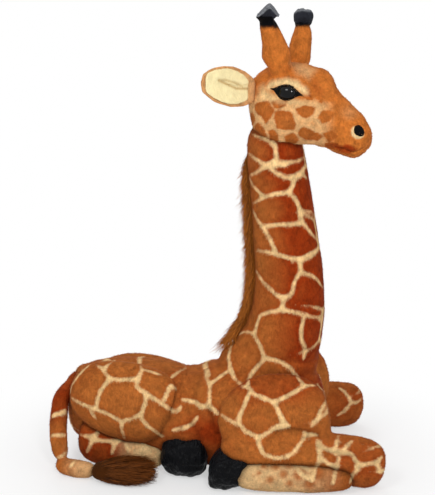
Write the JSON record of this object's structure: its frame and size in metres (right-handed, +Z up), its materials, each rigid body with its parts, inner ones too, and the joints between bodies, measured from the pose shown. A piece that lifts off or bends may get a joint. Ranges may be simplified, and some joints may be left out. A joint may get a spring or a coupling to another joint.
{
  "type": "plush giraffe",
  "caption": "Stuffed plush giraffe lying on folded legs, with an upright wired neck, a turned head, folding ears, horn stalks and a tail that ends in a tuft.",
  "frame": {"origin": "on the flat of the belly, where the toy rests on the floor", "axes": "+X along the body towards the chest, +Y towards the animal's left side, +Z up along the neck"},
  "size_m": [0.4907, 0.3018, 0.6838],
  "materials": {
    "patch_plush": "short pile, rust brown patches with cream lines between them",
    "mane_fur": "long brown pile",
    "tip_plush": "short charcoal pile",
    "cream_plush": "short cream pile",
    "eye_plastic": "glossy black dome",
    "liner_felt": "black felt",
    "washer_plastic": "plain white moulding",
    "hoof_plush": "black satin pile",
    "tuft_fur": "long dark brown pile",
    "frame_wire": "bright drawn wire"
  },
  "bodies": {
    "body": {"torso": "patch_plush", "right_haunch": "patch_plush", "left_haunch": "patch_plush", "right_shank": "patch_plush", "left_shank": "patch_plush", "right_shoulder": "patch_plush", "left_shoulder": "patch_plush", "right_forearm": "patch_plush", "left_forearm": "patch_plush", "right_cannon": "patch_plush", "left_cannon": "patch_plush", "right_hind_hoof": "hoof_plush", "left_hind_hoof": "hoof_plush", "right_fore_hoof": "hoof_plush", "left_fore_hoof": "hoof_plush", "spine_wire": "frame_wire"},
    "neck": {"neck": "patch_plush", "mane": "mane_fur", "neck_wire": "frame_wire"},
    "head": {"head": "patch_plush", "right_ossicone": "patch_plush", "left_ossicone": "patch_plush", "right_ossicone_tip": "tip_plush", "left_ossicone_tip": "tip_plush", "right_eye": "eye_plastic", "left_eye": "eye_plastic", "right_eye_liner": "liner_felt", "left_eye_liner": "liner_felt", "right_eye_washer": "washer_plastic", "left_eye_washer": "washer_plastic", "right_nostril": "liner_felt", "left_nostril": "liner_felt", "head_stem": "frame_wire"},
    "right_ear": {"right_ear": "patch_plush", "right_ear_lining": "cream_plush"},
    "left_ear": {"left_ear": "patch_plush", "left_ear_lining": "cream_plush"},
    "tail": {"tail_upper": "patch_plush", "tail_lower": "patch_plush", "tail_tuft": "tuft_fur"}
  },
  "joints": [
    {"name": "neck_lean", "type": "hinge", "parent": "body", "child": "neck", "pos_m": [0.095, 0, 0.165], "axis": [0, 1, 0], "range_deg": [-5, 8]},
    {"name": "head_turn", "type": "hinge", "parent": "neck", "child": "head", "pos_m": [0.081, 0, 0.5], "axis": [0, 0, 1], "range_deg": [-20, 70]},
    {"name": "right_ear_fold", "type": "hinge", "parent": "head", "child": "right_ear", "pos_m": [0.05125, -0.01647, 0.56022], "axis": [0.0332, 0.0711, 0.9969], "range_deg": [-20, 20]},
    {"name": "left_ear_fold", "type": "hinge", "parent": "head", "child": "left_ear", "pos_m": [0.07569, 0.03593, 0.55567], "axis": [0.0332, 0.0711, 0.9969], "range_deg": [-20, 20]},
    {"name": "tail_swing", "type": "hinge", "parent": "body", "child": "tail", "pos_m": [-0.226, 0.045, 0.12], "axis": [0, 0, 1], "range_deg": [-35, 0]}
  ]
}
